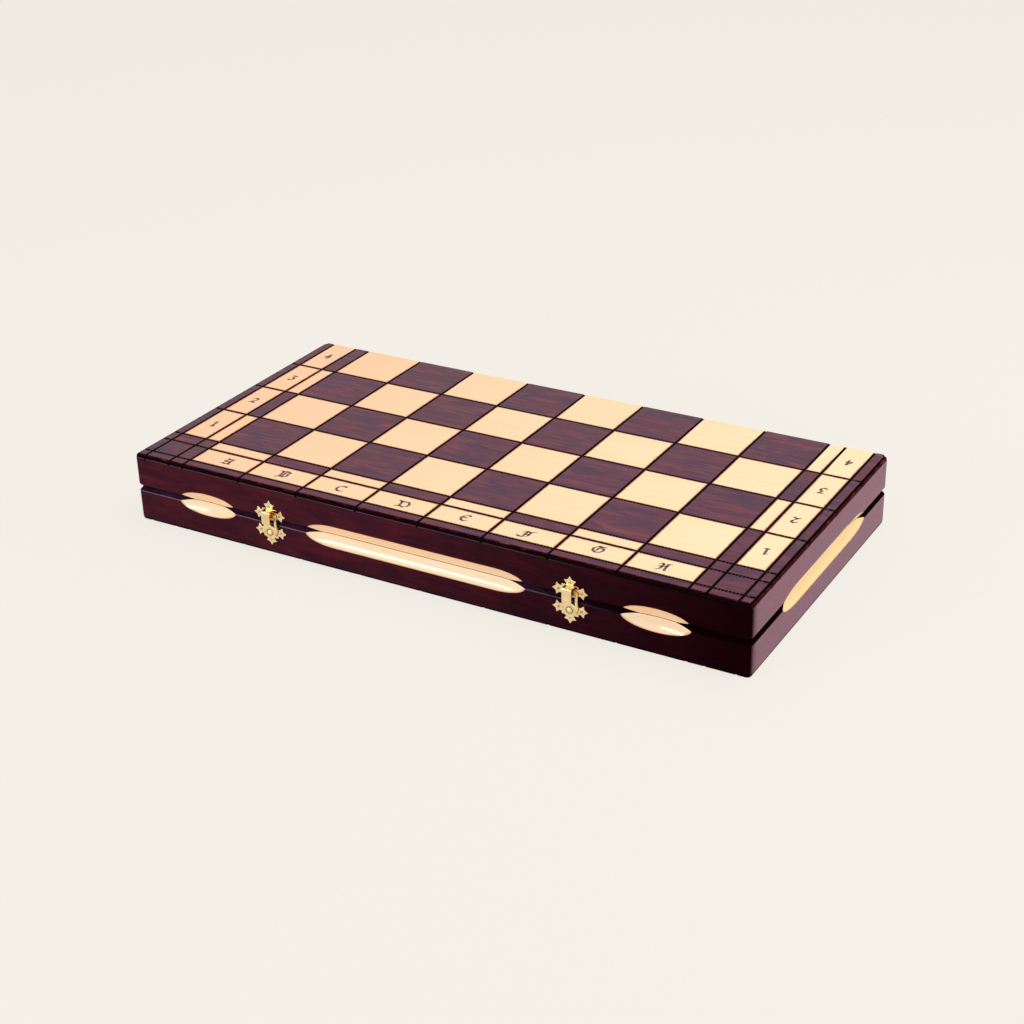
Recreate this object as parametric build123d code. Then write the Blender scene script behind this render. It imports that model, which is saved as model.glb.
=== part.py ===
"""Folding wooden chess box with its chessmen, closed, lying on its lower half.

The board is the outside of the box: ranks 1 to 4 are the lid's panel, ranks 5 to 8 the underside.
Millimetres, +Z up, +X towards file H, +Y towards the hinges. The origin is the middle of the underside.
"""

from build123d import *
import math
import os

# Board
SQUARE = 43.0
FILES = 8
RANKS = 4
NARROW_STRIP = 10.75
LETTER_STRIP = 18.85
OUTER_STRIP = 8.4
BORDER = NARROW_STRIP + LETTER_STRIP + OUTER_STRIP

# Case
BOX_W = FILES * SQUARE + 2 * BORDER
BOX_D = RANKS * SQUARE + BORDER
HALF_H = 23.0
PARTING_GAP = 0.4
PANEL_T = 4.5
WALL_T = 10.0
CORNER_R = 3.0
ARRIS = 1.0
PARTING_BEVEL = 2.1
LINING_T = 1.2
LINING_CLEAR = 0.3

BOX_H = 2 * HALF_H + PARTING_GAP
PARTING_Z = BOX_H / 2
FRONT_Y = -BOX_D / 2
BACK_Y = BOX_D / 2
INNER_W = BOX_W - 2 * WALL_T
INNER_D = BOX_D - 2 * WALL_T
FLOOR_Z = PANEL_T + LINING_T

# Coves cut across the parting line by a round-edged disc: middle and length, or middle alone
COVE_DISC_R = 85.0
COVE_EDGE_R = 10.9
COVE_DROP = 0.9
LONG_COVE = (-4.5, 153.0)
LONG_COVE_DEPTH = 3.6
SHORT_COVES = (-154.5, 153.5)
SHORT_COVE_DEPTH = 2.9
SIDE_COVE = (3.0, 129.0)
SIDE_COVE_DEPTH = 4.0

# Dividers: they stop just below the parting line
STRIP_T = 3.0
STRIP_DROP = 0.8
STRIP_H = HALF_H - STRIP_DROP - FLOOR_Z
ROWS = 5
FIT = 0.1

# Butt hinges let into the back walls
HINGE_X = (-120.0, 120.0)
HINGE_L = 30.0
LEAF_W = 8.0
LEAF_T = 1.0
KNUCKLES = 3
KNUCKLE_R = 2.0
KNUCKLE_GAP = 0.1
PIN_R = 0.9
PIN_CLEAR = 0.05
HINGE_STANDOFF = 0.15
SWING_CLEAR = 0.3
HINGE_Y = BACK_Y + HINGE_STANDOFF

# Clasps, in sheet brass: places are from the clasp's own axis at the parting line
CLASP_X = (-106.3, 100.7)
SHEET_T = 0.6
STAR_R = 4.0
STAR_VALLEY_R = 2.3
STAR_POINTS = 5
STAR_UP, STAR_DOWN = 90, -90
SIDE_STAR_X = 7.35
UPPER_STAR_Z = 4.3
TOP_STAR_Z = 9.6
LOWER_STAR_Z = -7.3
BOTTOM_STAR_Z = -12.6
PLATE_HALF_W = 5.3
UPPER_PLATE_Z = (0.8, 8.0)
LOWER_PLATE_Z = (-11.2, -3.4)
STRAP_W = 6.0
STRAP_OUT = 5.0
STRAP_BEND_R = 0.9
SHELF_Z = 7.2
STRAP_FOOT_Z = -0.8
CATCH_Z = 2.6
RIVET_X = 0.4
RIVET_Z = -7.1
RIVET_R = 1.0
RIVET_CLEAR = 0.05
RIVET_HEAD_R = 2.5
RIVET_CROWN_R = 1.3
RIVET_HEAD_H = 1.2
HOOK_T = 1.0
HOOK_GAP = 0.3
HOOK_PLAY = 0.03
HOOK_EYE_R = 4.6
HOOK_BAR_X = (3.4, 5.1)
HOOK_ARC_R = (11.0, 12.6)
HOOK_ARC_DEG = (66.0, 104.0)

# Chessmen
KING_H, KING_R = 76.0, 15.0
QUEEN_H, QUEEN_R = 68.0, 14.5
BISHOP_H, BISHOP_R = 60.0, 13.5
KNIGHT_H, KNIGHT_R = 54.0, 13.5
ROOK_H, ROOK_R = 45.0, 13.5
PAWN_H, PAWN_R = 38.0, 12.0
FOOT_H = 3.2
MAN_CLEAR = 0.05
PAWNS = 8
SIDES = 8

parts = {}


def block(x0, y0, z0, x1, y1, z1):
    """A block between two corners."""
    shape = Box(x1 - x0, y1 - y0, z1 - z0, align=(Align.MIN, Align.MIN, Align.MIN))
    return Pos(x0, y0, z0) * shape


def rod(radius, x0, x1, y, z):
    """A round bar along X."""
    return Pos((x0 + x1) / 2, y, z) * (Rot(0, 90, 0) * Cylinder(radius, x1 - x0))


def to_lid(shape):
    """A lower-half piece mirrored about the parting plane."""
    return mirror(shape, about=Plane.XY.offset(PARTING_Z))


def group(shapes):
    """Separate solids kept together as one node."""
    return Compound(children=[solid for shape in shapes for solid in shape.solids()])


# Case

def cove_cutter(middle, length, depth, face):
    """What the disc's round edge sweeps along a face that looks towards -Y."""
    turn = math.acos(1 - depth / COVE_DISC_R)
    travel = max(0, length / 2 - COVE_DISC_R * math.sin(turn))
    axis_y = depth - face - COVE_DISC_R
    edge_r = COVE_DISC_R - COVE_EDGE_R
    swing = math.degrees(1.5 * turn)
    path = [CenterArc((middle - travel, axis_y), edge_r, 90 + swing, -swing)]
    if travel:
        path.append(Line((middle - travel, axis_y + edge_r), (middle + travel, axis_y + edge_r)))
    path.append(CenterArc((middle + travel, axis_y), edge_r, 90, -swing))
    wire = Wire(path)
    section = Plane(origin=wire @ 0, z_dir=wire % 0) * Circle(COVE_EDGE_R)
    return Pos(0, 0, PARTING_Z - COVE_DROP) * sweep(section, path=wire)


def cove_cutters():
    """Three coves along the front and one on each end."""
    front = [cove_cutter(*LONG_COVE, LONG_COVE_DEPTH, -FRONT_Y)]
    for middle in SHORT_COVES:
        front.append(cove_cutter(middle, 0, SHORT_COVE_DEPTH, -FRONT_Y))
    right = Rot(0, 0, 90) * cove_cutter(*SIDE_COVE, SIDE_COVE_DEPTH, BOX_W / 2)
    return front + [right, mirror(right, about=Plane.YZ)]


def wall_ring():
    """The lower half's four walls as one ring, bevelled outside at the parting line."""
    outline = RectangleRounded(BOX_W, BOX_D, CORNER_R) - Rectangle(INNER_W, INNER_D)
    ring = Pos(0, 0, PANEL_T) * extrude(outline, HALF_H - PANEL_T)
    rim = ring.faces().sort_by(Axis.Z)[-1].outer_wire()
    return chamfer(rim.edges(), PARTING_BEVEL)


def hinge_mortise(x):
    """Room in a back wall for one leaf and its knuckles."""
    half = HINGE_L / 2
    bed = block(x - half, BACK_Y - LEAF_W, HALF_H - LEAF_T, x + half, HINGE_Y, HALF_H)
    knuckle = rod(KNUCKLE_R + SWING_CLEAR, x - half, x + half, HINGE_Y, PARTING_Z)
    return [bed, knuckle]


def split_walls(ring, half):
    """The ring cut into its front, back and end walls; the end walls stand between the others."""
    inner = INNER_D / 2
    regions = {
        "front_wall": block(-BOX_W, -BOX_D, 0, BOX_W, -inner, BOX_H),
        "back_wall": block(-BOX_W, inner, 0, BOX_W, BOX_D, BOX_H),
        "left_wall": block(-BOX_W, -inner, 0, 0, inner, BOX_H),
        "right_wall": block(0, -inner, 0, BOX_W, inner, BOX_H),
    }
    for name, region in regions.items():
        parts[f"{half}_{name}"] = ring & region


def panel():
    """The lower board panel: it covers the walls to their outside, with a broken arris."""
    blank = extrude(RectangleRounded(BOX_W, BOX_D, CORNER_R), PANEL_T)
    arris = blank.faces().sort_by(Axis.Z)[0].outer_wire()
    return chamfer(arris.edges(), ARRIS)


def lining():
    """Cloth glued to the inside of the lower panel."""
    half_w = INNER_W / 2 - LINING_CLEAR
    half_d = INNER_D / 2 - LINING_CLEAR
    return block(-half_w, -half_d, PANEL_T, half_w, half_d, FLOOR_Z)


def build_case():
    """Both halves: walls, board panels and linings."""
    ring = wall_ring()
    for x in HINGE_X:
        ring -= hinge_mortise(x)
    coves = cove_cutters()
    split_walls(ring - coves, "lower")
    split_walls(to_lid(ring) - coves, "upper")
    parts["lower_board_panel"] = panel()
    parts["upper_board_panel"] = to_lid(panel())
    parts["lower_lining"] = lining()
    parts["upper_lining"] = to_lid(lining())


# Hinges

def knuckle_spans(x):
    """Where each knuckle of a hinge begins and ends."""
    pitch = HINGE_L / KNUCKLES
    start = x - HINGE_L / 2
    return [(start + i * pitch, start + (i + 1) * pitch) for i in range(KNUCKLES)]


def leaf(x, own):
    """A lower leaf carrying every second knuckle, counted from own."""
    half = HINGE_L / 2
    shape = block(x - half, BACK_Y - LEAF_W, HALF_H - LEAF_T, x + half, HINGE_Y, HALF_H)
    for i, (start, end) in enumerate(knuckle_spans(x)):
        if i % 2 == own:
            shape += rod(KNUCKLE_R, start + KNUCKLE_GAP, end - KNUCKLE_GAP, HINGE_Y, PARTING_Z)
        else:
            shape -= rod(KNUCKLE_R + SWING_CLEAR, start, end, HINGE_Y, PARTING_Z)
    return shape - rod(PIN_R + PIN_CLEAR, x - half, x + half, HINGE_Y, PARTING_Z)


def build_hinges():
    """Two butt hinges: the outer knuckles on the lower leaf, the middle one on the lid's."""
    half = HINGE_L / 2
    for side, x in zip(("left", "right"), HINGE_X):
        parts[f"hinge_lower_leaf_{side}"] = leaf(x, 0)
        parts[f"hinge_upper_leaf_{side}"] = to_lid(leaf(x, 1))
        parts[f"hinge_pin_{side}"] = rod(PIN_R, x - half, x + half, HINGE_Y, PARTING_Z)


# Clasps: drawn flat with X along the box, Y up and Z out of the front, then stood on the front wall

def star(x, y, turn):
    """A five-pointed lobe with one point at the given angle."""
    points = []
    for i in range(2 * STAR_POINTS):
        angle = math.radians(turn + i * 180 / STAR_POINTS)
        radius = STAR_VALLEY_R if i % 2 else STAR_R
        points.append((x + radius * math.cos(angle), y + radius * math.sin(angle)))
    return make_face(Polyline(*points, close=True))


def plate(side_star, end_star, body, outward):
    """Three star lobes on a small plate; a nail through each holds it to the wall."""
    low, high = body
    shape = Pos(0, (low + high) / 2) * Rectangle(2 * PLATE_HALF_W, high - low)
    shape += star(-SIDE_STAR_X, side_star, 180)
    shape += star(SIDE_STAR_X, side_star, 0)
    shape += star(0, end_star, outward)
    return extrude(shape, SHEET_T)


def strap():
    """The tongue bent out of the upper plate, down over the parting line, with a catch inside it."""
    inner = STRAP_OUT - SHEET_T
    catch_end = SHEET_T + HOOK_GAP
    outline = Polyline(
        (0, SHELF_Z),
        (0, SHELF_Z + SHEET_T),
        (STRAP_OUT, SHELF_Z + SHEET_T),
        (STRAP_OUT, STRAP_FOOT_Z),
        (inner, STRAP_FOOT_Z),
        (inner, CATCH_Z),
        (catch_end, CATCH_Z),
        (catch_end, CATCH_Z + SHEET_T),
        (inner, CATCH_Z + SHEET_T),
        (inner, SHELF_Z),
        close=True,
    )
    section = make_face(outline)
    bend = section.vertices().sort_by(Axis.X)[-2:].sort_by(Axis.Y)[-1]
    section = fillet(bend, STRAP_BEND_R)
    return Rot(0, -90, 0) * extrude(section, STRAP_W / 2, both=True)


def hook():
    """The swinging hook: an eye on the rivet, a bar and a finger that lies above the catch."""
    inner, outer = HOOK_ARC_R
    start, end = HOOK_ARC_DEG
    span = end - start
    ends = [CenterArc((0, 0), outer, start, span), CenterArc((0, 0), inner, start, span)]
    tips = [Line(ends[0] @ 0, ends[1] @ 0), Line(ends[0] @ 1, ends[1] @ 1)]
    shape = make_face(ends + tips)
    left, right = HOOK_BAR_X
    shape += Pos((left + right) / 2, inner / 2) * Rectangle(right - left, inner)
    shape += Circle(HOOK_EYE_R)
    shape -= Circle(RIVET_R + RIVET_CLEAR)
    return Pos(RIVET_X, RIVET_Z, SHEET_T + HOOK_GAP) * extrude(shape, HOOK_T)


def rivet():
    """The rivet that the hook turns on, closed over it by a domed head."""
    head = SHEET_T + HOOK_GAP + HOOK_T + HOOK_PLAY
    top = head + RIVET_HEAD_H
    outline = Polyline(
        (0, 0), (RIVET_R, 0), (RIVET_R, head), (RIVET_HEAD_R, head), (RIVET_CROWN_R, top), (0, top),
        close=True,
    )
    return Pos(RIVET_X, RIVET_Z) * revolve(Plane.XZ * make_face(outline), Axis.Z)


def build_clasps():
    """Two clasps on the front, the plates nailed on and the hook riveted to the lower plate."""
    for side, x in zip(("left", "right"), CLASP_X):
        front = Plane(origin=(x, FRONT_Y, PARTING_Z), x_dir=(1, 0, 0), z_dir=(0, -1, 0))
        eye = Pos(RIVET_X, RIVET_Z) * Cylinder(RIVET_R, 4 * SHEET_T)
        upper = plate(UPPER_STAR_Z, TOP_STAR_Z, UPPER_PLATE_Z, STAR_UP) + strap()
        lower = plate(LOWER_STAR_Z, BOTTOM_STAR_Z, LOWER_PLATE_Z, STAR_DOWN) - eye
        parts[f"clasp_upper_plate_{side}"] = front * upper
        parts[f"clasp_lower_plate_{side}"] = front * lower
        parts[f"clasp_hook_{side}"] = front * hook()
        parts[f"clasp_rivet_{side}"] = front * rivet()


# Chessmen: an outline is a list of (radius, height) from the foot up

def turned(outline):
    """A man from its outline, with flats all round in place of the turned curve."""
    turns = [2 * math.pi * k / SIDES for k in range(SIDES)]
    rings = [[(r * math.cos(a), r * math.sin(a), h) for a in turns] for r, h in outline]
    faces = [rings[0], rings[-1]]
    for low, high in zip(rings, rings[1:]):
        faces += [[low[k - 1], low[k], high[k], high[k - 1]] for k in range(SIDES)]
    return Solid(Shell([Face(Wire.make_polygon(face)) for face in faces]))


def foot(radius, neck_r, neck_h):
    """The foot, and the body that tapers up to the neck."""
    return [(radius, 0), (radius, FOOT_H), (0.55 * radius, FOOT_H + 4.5), (neck_r, neck_h)]


def ball(radius, height):
    """A turned ball from below its middle to its flat top."""
    side, cap = 0.92 * radius, 0.35 * radius
    return [(side, height - 0.4 * radius), (side, height + 0.4 * radius), (cap, height + 0.94 * radius)]


def pawn():
    neck, collar, ball_r = 4.4, 7.0, 6.6
    collar_h = PAWN_H - 2 * ball_r - 1.5
    outline = foot(PAWN_R, neck, collar_h - 1.5)
    outline += [(collar, collar_h), (neck, collar_h + 1.5)]
    outline += ball(ball_r, PAWN_H - ball_r)
    return turned(outline), outline


def rook():
    """Its tower has a sunk top and four notches."""
    waist, tower, wall, well = 6.5, 9.5, 3.0, 4.0
    shoulder_h = ROOK_H - 13.0
    outline = foot(ROOK_R, waist, shoulder_h)
    outline += [(tower, shoulder_h + 3.0), (tower, ROOK_H), (tower - wall, ROOK_H)]
    outline += [(tower - wall, ROOK_H - well)]
    notch = Pos(0, 0, ROOK_H) * Box(2 * ROOK_R, wall, 1.5 * well)
    return turned(outline) - notch - Rot(0, 0, 90) * notch, outline


def bishop():
    """Its mitre has a slanting slit."""
    neck, collar, mitre, tip = 4.8, 8.5, 7.5, 2.2
    collar_h = BISHOP_H - 25.0
    outline = foot(BISHOP_R, neck, collar_h - 2.0)
    outline += [(collar, collar_h), (neck, collar_h + 2.0), (mitre, collar_h + 8.0)]
    outline += [(0.7 * mitre, collar_h + 15.0), (0.6 * tip, BISHOP_H - 2 * tip)]
    outline += [(tip, BISHOP_H - tip), (0.4 * tip, BISHOP_H)]
    slit = Pos(mitre, 0, collar_h + 12.0) * (Rot(0, -35, 0) * Box(1.5 * mitre, 3 * mitre, 1.2))
    return turned(outline) - slit, outline


def queen():
    """Her crown is a flared cup closed by a small ball."""
    neck, collar, crown, ball_r = 5.2, 9.0, 9.5, 3.0
    collar_h = QUEEN_H - 24.0
    crown_h = QUEEN_H - 2 * ball_r
    outline = foot(QUEEN_R, neck, collar_h - 2.5)
    outline += [(collar, collar_h), (neck, collar_h + 2.5), (crown, crown_h - 3.0)]
    outline += [(0.8 * crown, crown_h), (0.7 * ball_r, crown_h)]
    outline += ball(ball_r, QUEEN_H - ball_r)[1:]
    return turned(outline), outline


def king():
    """His crown carries a cross."""
    neck, collar, crown, arm = 5.6, 9.5, 9.0, 2.4
    crown_h = KING_H - 5 * arm
    collar_h = crown_h - 20.0
    outline = foot(KING_R, neck, collar_h - 2.5)
    outline += [(collar, collar_h), (neck, collar_h + 2.5), (crown, crown_h - 3.0)]
    outline += [(0.8 * crown, crown_h), (arm, crown_h + 2.0)]
    post = block(-arm / 2, -arm / 2, crown_h, arm / 2, arm / 2, KING_H)
    bar = block(-arm / 2, -1.5 * arm, KING_H - 2.2 * arm, arm / 2, 1.5 * arm, KING_H - 1.2 * arm)
    return turned(outline) + post + bar, outline


def knight():
    """The foot carries a horse's head sawn from a board, its side outline facing +-X."""
    neck_h, thick = 12.0, 11.0
    top = KNIGHT_H
    base = foot(KNIGHT_R, 8.0, neck_h)
    head = Polyline(
        (-7.0, neck_h - 1), (7.5, neck_h - 1), (9.0, top - 26), (4.5, top - 19), (6.5, top - 17),
        (12.0, top - 18), (13.0, top - 13), (7.0, top - 6), (4.5, top), (0.5, top - 3),
        (-6.5, top - 8), (-9.5, top - 20), (-8.0, neck_h + 8),
        close=True,
    )
    sawn = extrude(Plane.YZ * make_face(head), thick / 2, both=True)
    return turned(base) + sawn, base[:2] + [(thick / 2, top)]


def rest_tilt(outline):
    """How far a lying man's head drops before it rests on its foot's rim and one other point."""
    rim_r = outline[1][0]
    above = [(rim_r - r, h - FOOT_H) for r, h in outline[2:] if h > FOOT_H]
    return min(math.degrees(math.atan2(drop, run)) for drop, run in above)


def lie(man, towards):
    """A man laid along X on the lining, head towards +X or -X, its middle over the origin."""
    shape, outline = man
    laid = Rot(0, 90 + rest_tilt(outline), 0) * shape
    if towards < 0:
        laid = Rot(0, 0, 180) * laid
    bounds = laid.bounding_box()
    lift = FLOOR_Z + MAN_CLEAR - bounds.min.Z
    return Pos(-bounds.center().X, -bounds.center().Y, lift) * laid


def row_y(row):
    """The middle of a row of cells, the front row first."""
    return -INNER_D / 2 + row_depth() / 2 + row * (row_depth() + STRIP_T)


def row_depth():
    """The clear depth of a row."""
    return (INNER_D - (ROWS - 1) * STRIP_T) / ROWS


def cross_strip(x, row):
    """A short strip between two cells of a row."""
    half = row_depth() / 2 - FIT
    y = row_y(row)
    return block(x - STRIP_T / 2, y - half, FLOOR_Z, x + STRIP_T / 2, y + half, FLOOR_Z + STRIP_H)


def fill_row(men, row, x0, x1):
    """Men shared out along a row between two places, with the strips between their cells."""
    lengths = [man.bounding_box().size.X for man in men]
    spare = (x1 - x0 - (len(men) - 1) * STRIP_T - sum(lengths)) / len(men)
    placed, strips = [], []
    x = x0
    for man, length in zip(men, lengths):
        placed.append(Pos(x + (length + spare) / 2, row_y(row), 0) * man)
        x += length + spare + STRIP_T
        strips.append(cross_strip(x - STRIP_T / 2, row))
    return placed, strips[:-1]


def knights_row(side):
    """Two knights at one end of the middle row, and the strip that closes their cells."""
    men = [lie(knight(), side) for _ in range(2)]
    length = men[0].bounding_box().size.X + 2 * STRIP_T
    reach = 2 * length + STRIP_T
    edge = side * INNER_W / 2
    inner = edge - side * reach
    placed, strips = fill_row(men, ROWS // 2, min(edge, inner), max(edge, inner))
    return placed, strips + [cross_strip(inner - side * STRIP_T / 2, ROWS // 2)]


def build_men():
    """Thirty-two men lying in five rows of cells: light in front, dark at the back."""
    cells = []
    armies = {"light": (0, 1, -1), "dark": (ROWS - 1, ROWS - 2, 1)}
    side = INNER_W / 2
    for army, (piece_row, pawn_row, end) in armies.items():
        order = (rook, bishop, queen, king, bishop, rook)
        pieces, strips = fill_row([lie(man(), -end) for man in order], piece_row, -side, side)
        cells += strips
        knights, strips = knights_row(end)
        cells += strips
        pawns, strips = fill_row([lie(pawn(), -end) for _ in range(PAWNS)], pawn_row, -side, side)
        cells += strips
        parts[f"{army}_pieces"] = group(pieces + knights)
        parts[f"{army}_pawns"] = group(pawns)
    parts["cell_dividers"] = group(cells)


def build_row_dividers():
    """Long strips between the rows of cells, glued on the lining."""
    half = INNER_W / 2 - FIT
    strips = []
    for row in range(ROWS - 1):
        y = row_y(row) + (row_depth() + STRIP_T) / 2
        low, high = y - STRIP_T / 2, y + STRIP_T / 2
        strips.append(block(-half, low, FLOOR_Z, half, high, FLOOR_Z + STRIP_H))
    parts["row_dividers"] = group(strips)


build_case()
build_hinges()
build_clasps()
build_row_dividers()
build_men()

os.makedirs("parts", exist_ok=True)
for node, shape in parts.items():
    export_step(shape, f"parts/{node}.step")
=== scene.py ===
"""Looks of the folding chess set: a wooden box whose outside is the board, with its men inside.

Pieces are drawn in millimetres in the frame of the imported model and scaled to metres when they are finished.
"""

import math

import bmesh
import bpy
from mathutils import Matrix, Vector


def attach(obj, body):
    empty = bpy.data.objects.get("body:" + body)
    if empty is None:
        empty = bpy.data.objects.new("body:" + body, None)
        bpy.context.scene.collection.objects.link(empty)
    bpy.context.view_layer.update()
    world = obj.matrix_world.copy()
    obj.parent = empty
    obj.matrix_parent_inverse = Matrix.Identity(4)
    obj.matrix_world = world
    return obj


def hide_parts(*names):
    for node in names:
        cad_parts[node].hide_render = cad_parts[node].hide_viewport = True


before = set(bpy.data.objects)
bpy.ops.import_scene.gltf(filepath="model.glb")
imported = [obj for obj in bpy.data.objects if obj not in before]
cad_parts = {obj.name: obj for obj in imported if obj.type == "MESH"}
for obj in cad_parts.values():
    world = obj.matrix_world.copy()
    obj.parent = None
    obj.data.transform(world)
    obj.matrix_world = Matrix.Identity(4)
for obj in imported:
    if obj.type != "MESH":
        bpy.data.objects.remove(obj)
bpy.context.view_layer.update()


# Board panels: two sheets of birch plywood, one glued over each half of the box. Dark squares
# are stained through a mask, then every line is burned in with a hot wheel, and a burned rebate
# runs round the outer edges. A smooth wheel burned the lines across, a toothed one the lines along.

# a millimetre in metres, and how near counts as the same place and as the same level
MM = 0.001
TINY, LEVEL = 0.01, 0.001
LENGTH, DEPTH, HEIGHT = 420.0, 210.0, 46.4
PANEL_T = 4.5
CORNER_R = 3.0
FACE_Z = HEIGHT - 0.05
SQUARE = 43.0

# where the squares, the narrow strip round them and the strip of letters or figures end
SQUARES_X, NARROW_X, LETTERS_X = 172.0, 182.75, 201.6
SQUARES_Y, NARROW_Y, LETTERS_Y = -67.0, -77.75, -96.6
FILE_LINES = [x * SQUARE for x in range(-3, 4)]
FILE_LINES += [side * x for side in (-1, 1) for x in (SQUARES_X, NARROW_X, LETTERS_X)]
RANK_LINES = [LETTERS_Y, NARROW_Y] + [SQUARES_Y + rank * SQUARE for rank in range(4)]

# half the burned lines' widths, the teeth's pitch and reach, and how deep the lines are
FILE_BURN, RANK_BURN = 0.92, 0.75
TOOTH_PITCH, TOOTH_OUT = 2.1, 0.33
BURN_DEEP, BURN_SHALLOW = 0.5, 0.1
SCORCH_W = 1.1
BACK_ARRIS = 0.5
END_SHARE = 0.9

# the rebate's section, from the outer edge inwards: how far in, how far up
REBATE = [(0.25, 0.25), (0.03, 0.95), (0.25, 0.35), (0.4, 0.3),
          (0.4, -0.45), (0.3, 0.0), (0.1, 0.75), (0.5, 0.35)]
REBATE_IN = sum(step[0] for step in REBATE)
REBATE_UP = sum(step[1] for step in REBATE)
REBATE_FOOT = FACE_Z - REBATE_UP
EDGE_BAND = 5.0


def add(tree, kind, sockets=None, **settings):
    """A shader node with its settings, and its sockets set or linked."""
    node = tree.nodes.new("ShaderNode" + kind)
    for key, value in settings.items():
        setattr(node, key, value)
    for key, value in (sockets or {}).items():
        if isinstance(value, bpy.types.NodeSocket):
            tree.links.new(value, node.inputs[key])
        else:
            node.inputs[key].default_value = value
    return node


def finish(name, **values):
    """A new finish with plain values on its shader's own sockets."""
    material = bpy.data.materials.new(name)
    material.use_nodes = True
    shader = material.node_tree.nodes["Principled BSDF"]
    for key, value in values.items():
        shader.inputs[key.replace("_", " ")].default_value = value
    return material, material.node_tree, shader


def feed(tree, shader, **outputs):
    """Links outputs to the shader's sockets."""
    for key, output in outputs.items():
        tree.links.new(output, shader.inputs[key.replace("_", " ")])


def coordinates(tree):
    """The three object coordinates, in metres."""
    return add(tree, "SeparateXYZ", {0: add(tree, "TexCoord").outputs["Object"]}).outputs


def cloud(tree, per_metre, detail=4.0, rough=0.55, bend=0.0):
    """Noise of that many strokes a metre each way, from 0 to 1."""
    where = add(tree, "TexCoord").outputs["Object"]
    sockets = {"Vector": add(tree, "Mapping", {"Vector": where, "Scale": per_metre}).outputs[0]}
    sockets.update({"Scale": 1.0, "Detail": detail, "Roughness": rough, "Distortion": bend})
    return add(tree, "TexNoise", sockets).outputs["Fac"]


def spread(tree, value, low, high, to_low=0.0, to_high=1.0):
    """A value's range stretched to another, and kept within it."""
    sockets = {"Value": value, "From Min": low, "From Max": high, "To Min": to_low, "To Max": to_high}
    return add(tree, "MapRange", sockets).outputs[0]


def colours(tree, value, *stops):
    """A colour ramp over (place, red, green, blue) stops."""
    node = add(tree, "ValToRGB", {"Fac": value})
    ramp = node.color_ramp
    while len(ramp.elements) < len(stops):
        ramp.elements.new(0.5)
    for element, (where, *colour) in zip(ramp.elements, stops):
        element.position = where
        element.color = (*colour, 1.0)
    return node.outputs["Color"]


def mixed(tree, share, first, second, way="MIX"):
    """Two colours mixed by a share of the second."""
    node = add(tree, "Mix", {0: share}, data_type="RGBA", blend_type=way)
    for socket, value in ((6, first), (7, second)):
        if isinstance(value, bpy.types.NodeSocket):
            tree.links.new(value, node.inputs[socket])
        else:
            node.inputs[socket].default_value = (*value, 1.0)
    return node.outputs[2]


def worked(tree, how, first, second=0.0):
    """Arithmetic on two values."""
    return add(tree, "Math", {0: first, 1: second}, operation=how).outputs[0]


def blended(tree, share, first, second):
    """Two values mixed by a share of the first."""
    first = worked(tree, "MULTIPLY", first, share)
    return worked(tree, "ADD", first, worked(tree, "MULTIPLY", second, 1 - share))


def relief(tree, height, strength, distance):
    """Fine relief too small for the mesh."""
    return add(tree, "Bump", {"Height": height, "Strength": strength, "Distance": distance}).outputs[0]


def strokes(along, fine, long):
    """Strokes a metre: fine across the grain, long along the given axis."""
    return tuple(long if axis == along else fine for axis in "XYZ")


def stained_wood(name, along, tones, shine, gloss=0.3, painted_shade=None):
    """Stained and lacquered wood with its grain along an axis.

    The last argument, if given, is painted shade: an axis, where on it the shade starts and is darkest, and
    how dark it gets; it darkens the colour and dulls the shine.
    """
    material, tree, shader = finish(name, IOR=1.3, Specular_IOR_Level=shine)
    grain = cloud(tree, strokes(along, 420.0, 45.0), 6.0, 0.62, 0.6)
    broad = cloud(tree, strokes(along, 85.0, 36.0), 5.0, 0.62, 0.5)
    dark, middle, red = tones
    colour = colours(tree, blended(tree, 0.35, grain, broad), (0.42, *dark), (0.56, *middle))
    streaks = cloud(tree, strokes(along, 210.0, 34.0), 4.0, 0.6, 1.0)
    colour = mixed(tree, spread(tree, streaks, 0.48, 0.75, 0.0, 0.7), colour, red)
    pores = cloud(tree, strokes(along, 1500.0, 60.0), 2.0)
    colour = mixed(tree, spread(tree, pores, 0.55, 0.7, 0.0, 0.4), colour, dark)
    # painted shade: along the axis the colour darkens and the shine fades, where less light falls
    if painted_shade:
        axis, start, end, share = painted_shade
        where = coordinates(tree)["XYZ".index(axis)]
        colour = mixed(tree, spread(tree, where, start, end, 0.0, share), colour, PAINTED_SHADE_DARK)
        feed(tree, shader, Specular_IOR_Level=spread(tree, where, start, end, shine, (1 - share) * shine))
    rough = spread(tree, broad, 0.3, 0.7, gloss, gloss + 0.12)
    feed(tree, shader, Base_Color=colour, Roughness=rough, Normal=relief(tree, pores, 0.12, 0.0002))
    return material


def pale_wood(name, along, tones):
    """Bare pale wood under lacquer, with soft grain along an axis."""
    material, tree, shader = finish(name, IOR=1.35, Specular_IOR_Level=0.4)
    grain = cloud(tree, strokes(along, 330.0, 8.0), 5.0, 0.6, 0.5)
    broad = cloud(tree, strokes(along, 30.0, 10.0), 2.0)
    dark, light = tones
    colour = colours(tree, blended(tree, 0.55, grain, broad), (0.3, *dark), (0.62, *light))
    flecks = cloud(tree, strokes(along, 1400.0, 90.0), 1.0)
    rough = spread(tree, broad, 0.3, 0.7, 0.3, 0.4)
    feed(tree, shader, Roughness=rough, Normal=relief(tree, flecks, 0.08, 0.0002))
    return material, tree, shader, colour


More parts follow.
